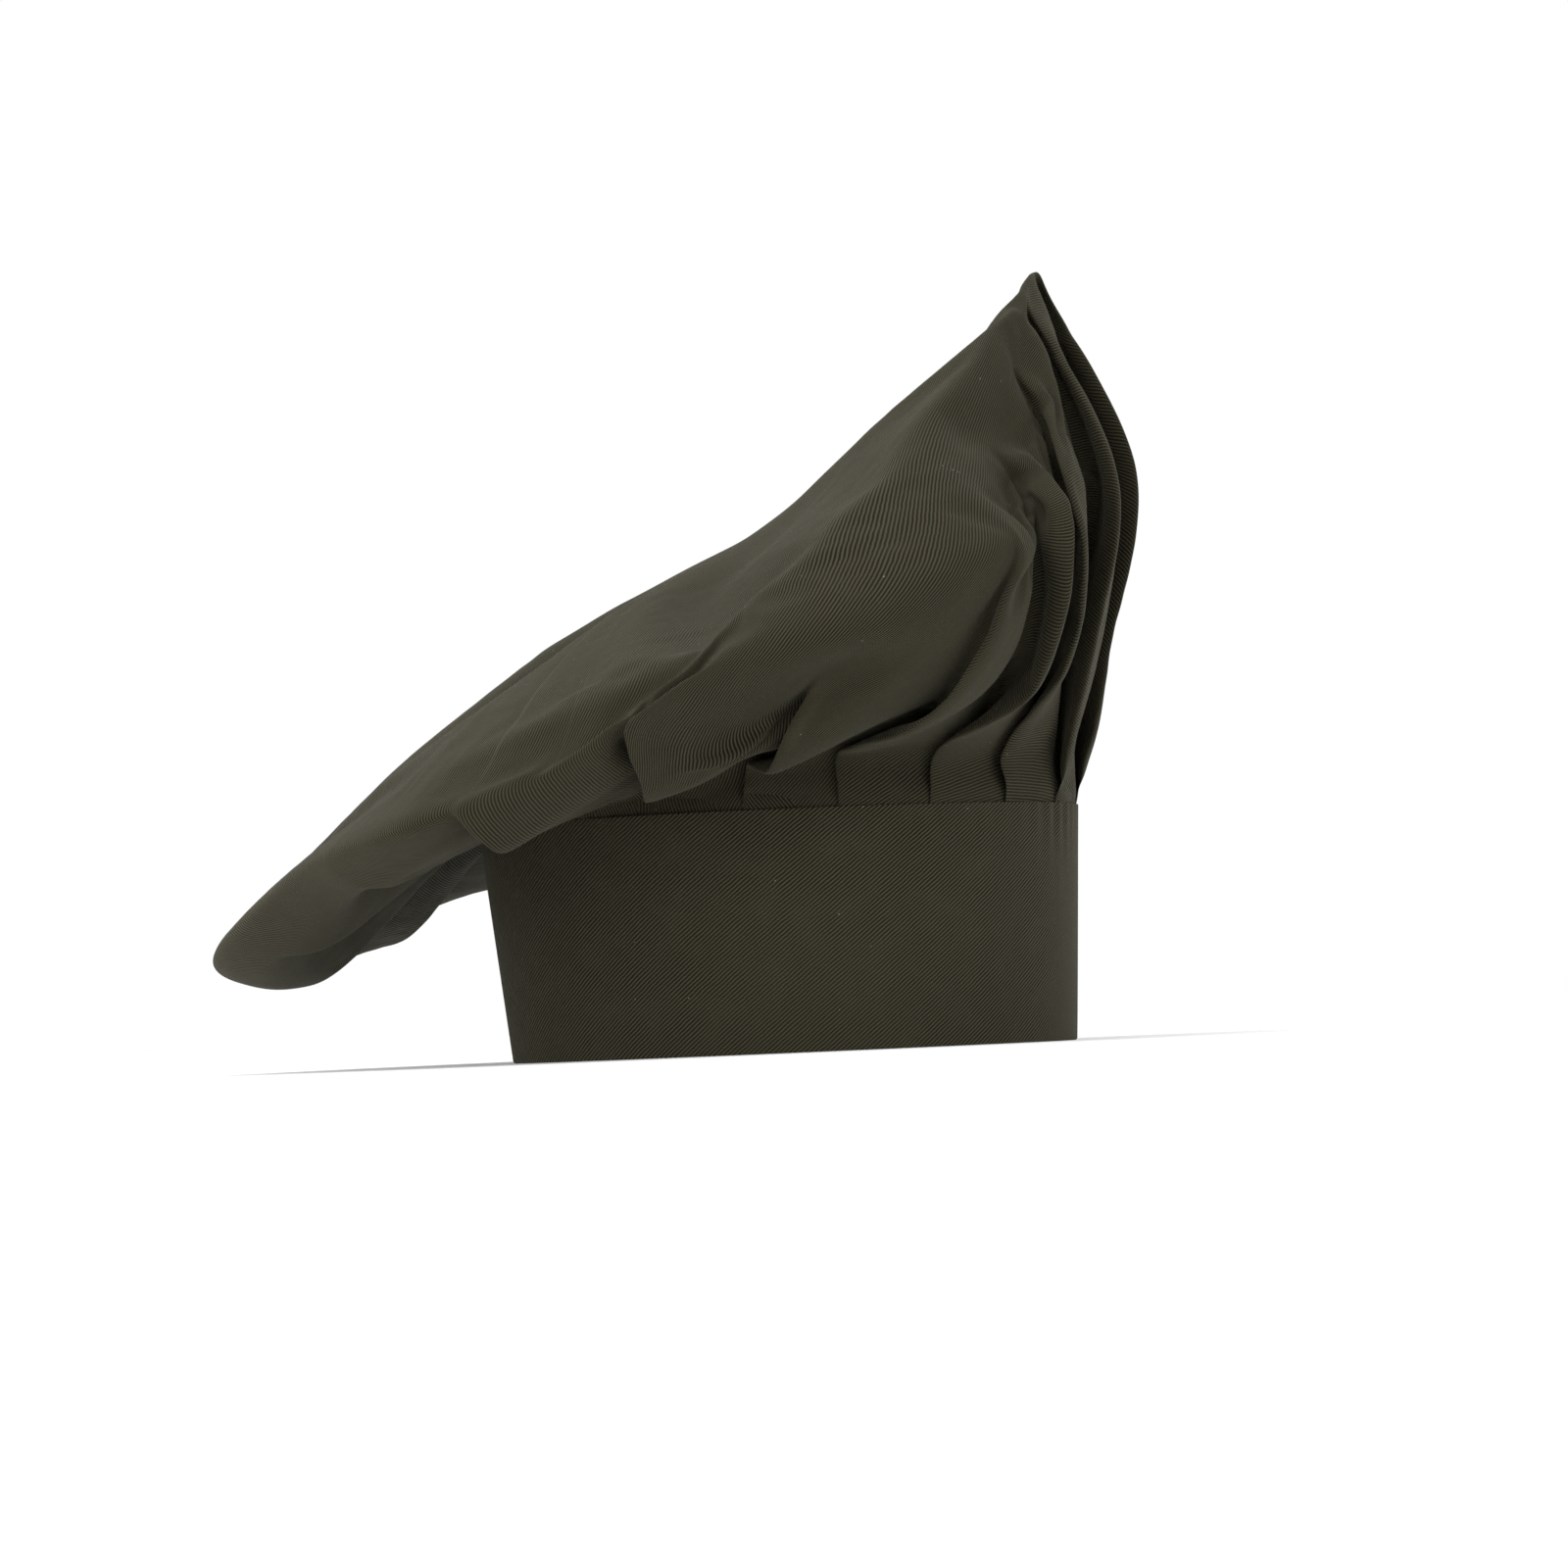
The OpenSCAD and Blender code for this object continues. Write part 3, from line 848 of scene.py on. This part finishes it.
def stitches(name, body, node, place, paths, depth, sign, proud=0.34):
    """One object that holds every stitch along the paths."""
    points, faces = [], []
    for path in paths:
        stitch_line(points, faces, place, path, depth, sign, proud=proud)
    finish_piece(build(name, points, faces), body, node, thread_black)


# Crown
pleater = Pleater()
pleated, cut, crown_faces, cut_polar = crown_pattern(pleater)
settled = settle_crown(pleater, pleated, cut, crown_faces, cut_polar)
settled = ease_centre(settled, crown_faces, cut_polar[:, 0])
crown = build("crown_cloth", settled, crown_faces, cut[:, :2])
smoothing = crown.modifiers.new("soft", "SUBSURF")
smoothing.levels = 1
smoothing.render_levels = 2
finish_piece(crown, "band", "crown", crown_twill)


# Band
def folded_section(low, high):
    """Two layers of cloth joined by a fold along the bottom, as (depth, height)."""
    inside = BAND_THICK - CLOTH
    return [
        (0, low), (0, high), (CLOTH, high), (CLOTH, low + CLOTH),
        (inside, low + CLOTH), (inside, high), (BAND_THICK, high), (BAND_THICK, low),
    ]


def on_closed_band(angle, depth, z):
    """A place on the band, where the two layers meet at its cut ends and hide the stiffener."""
    from_end = min(angle - (END_A - 360), END_B - angle)
    shut = max(0.0, 1 - from_end / 0.8)
    middle = BAND_THICK / 2
    if CLOTH - 0.01 < depth < middle:
        depth += shut * (middle - 0.02 - depth)
    elif middle < depth < BAND_THICK - CLOTH + 0.01:
        depth += shut * (middle + 0.02 - depth)
    return on_band(angle, depth, z)


band_angles = np.concatenate([
    END_A - 360 + np.array([0.0, 0.2, 0.4, 0.6]), shared_angles(END_A - 359.2, END_B - 0.8, 0.75),
    END_B - np.array([0.6, 0.4, 0.2, 0.0]),
])
lining_angles = shared_angles(END_A - 359.0, END_B - 1.0, 0.75)
near_end = BAND_HEIGHT - 11
band_section = refined(rounded(folded_section(0, BAND_HEIGHT), 1.0), 3.0)
band = swept("band_twill_strip", band_angles, band_section, on_closed_band)
finish_piece(band, "band", "band_cloth", band_twill)

lining = swept("band_stiffener", lining_angles, refined(rounded([
    (CLOTH + 0.1, CLOTH + 0.6), (CLOTH + 0.1, near_end - 0.5),
    (BAND_THICK - CLOTH - 0.1, near_end - 0.5), (BAND_THICK - CLOTH - 0.1, CLOTH + 0.6),
], 0.3), 4.0), on_band)
finish_piece(lining, "band", "band_interlining", interlining_white)

inside_face = BAND_THICK + STITCH_OFF
seam_path = [(a, BAND_HEIGHT - 3.7) for a in np.arange(END_A - 359.3, END_B - 0.6, 1.0)]
stitches("crown_seam_stitches", "band", "crown_seam_thread", on_band, [seam_path], inside_face, 1)

end_paths = [[(a, 3.5), (a, BAND_HEIGHT - 6.5)] for a in (END_A - 360 + 1.5, END_B - 1.6)]
stitches("band_end_stitches", "band", "band_end_threads", on_band, end_paths, inside_face, 1)

binding = swept("slit_binding", shared_angles(END_B + 0.5, END_A - 0.5, 0.75), refined(rounded([
    (-0.4, near_end - 1.2), (-0.4, BAND_HEIGHT - 3), (CLOTH - 0.1, BAND_HEIGHT - 3),
    (CLOTH - 0.1, near_end - 0.3), (BAND_THICK - CLOTH + 0.1, near_end - 0.3),
    (BAND_THICK - CLOTH + 0.1, BAND_HEIGHT - 3), (BAND_THICK + 0.4, BAND_HEIGHT - 3),
    (BAND_THICK + 0.4, near_end - 1.2),
], 0.5), 2.0), on_band)
finish_piece(binding, "band", "rear_slit_binding", band_twill)


# Tapes
def tape_loops(points, faces, depth, sign, height, spacing, hooked, seed):
    """Rows of small loops, or of hooks, standing on a tape's face."""
    random = np.random.default_rng(seed)
    middle = arc_length(np.array([TAPE_TIP, TAPE_ROOT]), depth, 29.0)[-1]
    columns = int((middle - 3) / spacing)
    rows = int((TAPE_WIDTH - 3) / spacing)
    for i in range(columns):
        for j in range(rows):
            angle = TAPE_TIP + (TAPE_ROOT - TAPE_TIP) * (1.5 + (i + 0.5 * (j % 2)) * spacing) / middle
            z = TAPE_LOW + 1.7 + j * spacing + random.uniform(-0.15, 0.15)
            lean = random.uniform(-0.35, 0.35) if not hooked else 0.0
            reach = 0.62 * height if hooked else 0.55 * height
            bends = (0, 40, 80, 120, 150) if hooked else (0, 45, 90, 135, 180)
            first = len(points)
            thick = 0.13
            sides = 4
            for bend in bends:
                b = math.radians(bend)
                off = reach * (1 - math.cos(b))
                rise = math.sin(b)
                if hooked and bend > 90:
                    rise = 0.55 + 0.45 * rise
                up = height * rise
                for k in range(sides):
                    c = math.pi / 2 * k
                    side = thick * math.cos(c)
                    out = thick * math.sin(c)
                    here = angle + (lean * off + side) * 0.55
                    points.append(on_band(here, depth + sign * (up + out - thick), z + off))
            faces += tube_faces(len(bends), sides, first)


def tape(name, base_low, base_high, loop_face, sign, height, spacing, hooked, seed):
    """One woven tape, from one depth to another, with its rows of loops or hooks."""
    angles = shared_angles(TAPE_TIP, TAPE_ROOT, 1.25)
    section = rounded([(base_low, TAPE_LOW), (base_low, TAPE_HIGH), (base_high, TAPE_HIGH),
                       (base_high, TAPE_LOW)], 0.2)
    points = []
    for angle in angles:
        for depth, z, _ in section:
            points.append(on_band(angle, depth, z))
    faces = tube_faces(len(angles), len(section))
    tape_loops(points, faces, loop_face, sign, height, spacing, hooked, seed)
    return build(name, points, faces)


loops = tape(
    "loop_tape_pile", base_low=-0.55, base_high=-0.1, loop_face=-0.5, sign=-1,
    height=0.62, spacing=1.15, hooked=False, seed=4,
)
finish_piece(loops, "band", "loop_tape", loop_nylon)
hooks = tape(
    "hook_tape_hooks", base_low=-TAB_RISE + 0.1, base_high=-TAB_RISE + 0.6,
    loop_face=-TAB_RISE + 0.55, sign=1, height=0.6, spacing=1.5, hooked=True, seed=9,
)
finish_piece(hooks, "tab", "hook_tape", hook_nylon)

tape_box = box_path(TAPE_TIP + 1.2, TAPE_ROOT - 1.2, TAPE_LOW + 2.2, TAPE_HIGH - 2.2)
over_loops = -1.22
tab_face = -TAB_RISE - BAND_THICK - STITCH_OFF
stitches("loop_tape_stitches", "band", "loop_tape_thread", on_band, [tape_box], over_loops, -1, proud=0.3)
stitches("hook_tape_stitches", "tab", "hook_tape_thread", on_band, [tape_box], tab_face, -1)


# Tab
def tab_corner(angle):
    """How much a rounded corner takes off the tab's top and bottom at an angle."""
    away = max(0.0, float(arc_length(np.array([TAB_TIP, max(angle, TAB_TIP + 1e-6)]), 0, 29.0)[-1]))
    radius = 6.0
    if away >= radius:
        return 0.0
    return radius - math.sqrt(radius**2 - (radius - away) ** 2)


def on_rounded_tab(angle, depth, z):
    cutback = tab_corner(angle)
    middle = (TAB_LOW + TAB_HIGH) / 2
    half = (TAB_HIGH - TAB_LOW) / 2
    return on_tab(angle, depth, middle + (z - middle) * (half - cutback) / half)


tab_section = refined(rounded(folded_section(TAB_LOW, TAB_HIGH), 1.0), 2.5)
tip_angles = TAB_TIP + np.array([0.0, 0.15, 0.4, 0.8, 1.3, 1.9, 2.6])
tab_angles = np.concatenate([tip_angles, np.arange(TAB_TIP + 3, TAB_ROOT, 0.5), [TAB_ROOT]])
tab = swept("tab_twill", tab_angles, tab_section, on_rounded_tab)
finish_piece(tab, None, "tab_cloth", tab_twill)

tab_lining = swept("tab_stiffener", shared_angles(TAB_TIP + 2.5, TAB_ROOT - 0.6, 1.0), rounded([
    (CLOTH + 0.1, TAB_LOW + 3), (CLOTH + 0.1, TAB_HIGH - 3),
    (BAND_THICK - CLOTH - 0.1, TAB_HIGH - 3), (BAND_THICK - CLOTH - 0.1, TAB_LOW + 3),
], 0.3), on_tab)
finish_piece(tab_lining, "tab", "tab_interlining", interlining_white)

edge_path = box_path(TAB_TIP + 1.6, TAB_ROOT - 9, TAB_LOW + 2.6, TAB_HIGH - 2.6)
stitches("tab_edge_stitches", "tab", "tab_edge_thread", on_tab, [edge_path], -STITCH_OFF, -1)

# Label
LABEL_ANGLE = 230.0
LABEL_HALF = 8.5
LABEL_TOP = BAND_HEIGHT - 5
LABEL_DROP = 40.0


def on_label(angle, depth, z):
    down = (LABEL_TOP - z) / LABEL_DROP
    across = (angle - LABEL_ANGLE) / LABEL_HALF
    return band_point(angle, depth + 1.1 * down**2 + 0.35 * down * across**2, z)


label_section = refined(rounded([
    (BAND_THICK + 0.5, LABEL_TOP - LABEL_DROP), (BAND_THICK + 0.5, LABEL_TOP),
    (BAND_THICK + 0.8, LABEL_TOP), (BAND_THICK + 0.8, LABEL_TOP - LABEL_DROP),
], 0.12), 1.5)
label_angles = LABEL_ANGLE + np.linspace(-LABEL_HALF, LABEL_HALF, 19)
label = swept("blank_label", label_angles, label_section, on_label)
finish_piece(label, "label", "care_label", label_satin)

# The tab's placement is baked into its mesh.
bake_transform(tab)

# ---------------------------------------------------------------- stage, light and camera
floor_mesh = bpy.data.meshes.new("floor")
floor_mesh.from_pydata([(-30, -6, 0), (30, -6, 0), (30, 60, 0), (-30, 60, 0)], [], [(0, 1, 2, 3)])
floor = bpy.data.objects.new("floor", floor_mesh)
bpy.context.scene.collection.objects.link(floor)
paper = Shader("paper", roughness=0.9, specular=0.1)
paper_grain = paper.noise(paper.object_place(), 2.0)
paper.colour(paper.blend(paper_grain, (0.90, 0.90, 0.90, 1), (0.94, 0.94, 0.94, 1)))
paper.bsdf.inputs["Emission Color"].default_value = (1, 1, 1, 1)
paper.bsdf.inputs["Emission Strength"].default_value = 0.12
floor_mesh.materials.append(paper.material)


def soft_light(name, place, aim, size, power):
    data = bpy.data.lights.new(name, "AREA")
    data.size = size
    data.energy = power
    obj = bpy.data.objects.new(name, data)
    bpy.context.scene.collection.objects.link(obj)
    obj.location = place
    obj.rotation_euler = (Vector(aim) - Vector(place)).to_track_quat("-Z", "Y").to_euler()


soft_light("overhead", (-0.5, -0.3, 1.7), (0, 0, 0.15), 1.2, 10)
soft_light("front_left", (-1.2, -1.7, 0.7), (0, 0, 0.10), 1.0, 13)
soft_light("front_right", (1.6, -1.3, 0.8), (0, 0, 0.12), 1.0, 4)

world = bpy.data.worlds.new("white_room")
world.use_nodes = True
world.node_tree.nodes["Background"].inputs["Color"].default_value = (1, 1, 1, 1)
world.node_tree.nodes["Background"].inputs["Strength"].default_value = 1.0
scene = bpy.context.scene
scene.world = world
scene.view_settings.view_transform = "Standard"

camera_data = bpy.data.cameras.new("camera")
camera_data.sensor_width = 36
camera_data.lens = 136.2
camera = bpy.data.objects.new("camera", camera_data)
scene.collection.objects.link(camera)
camera_place = Vector((-0.0005, -2.1, 0.01))
forward = (Vector((-0.0005, 0.0, 0.0948)) - camera_place).normalized()
tilted_up = Vector((0.0424, 0.0, 0.9991))
right = forward.cross(tilted_up).normalized()
up = right.cross(forward)
turn = [[right[i], up[i], -forward[i]] for i in range(3)]
camera.rotation_euler = Matrix(turn).to_euler()
camera.location = camera_place
scene.camera = camera
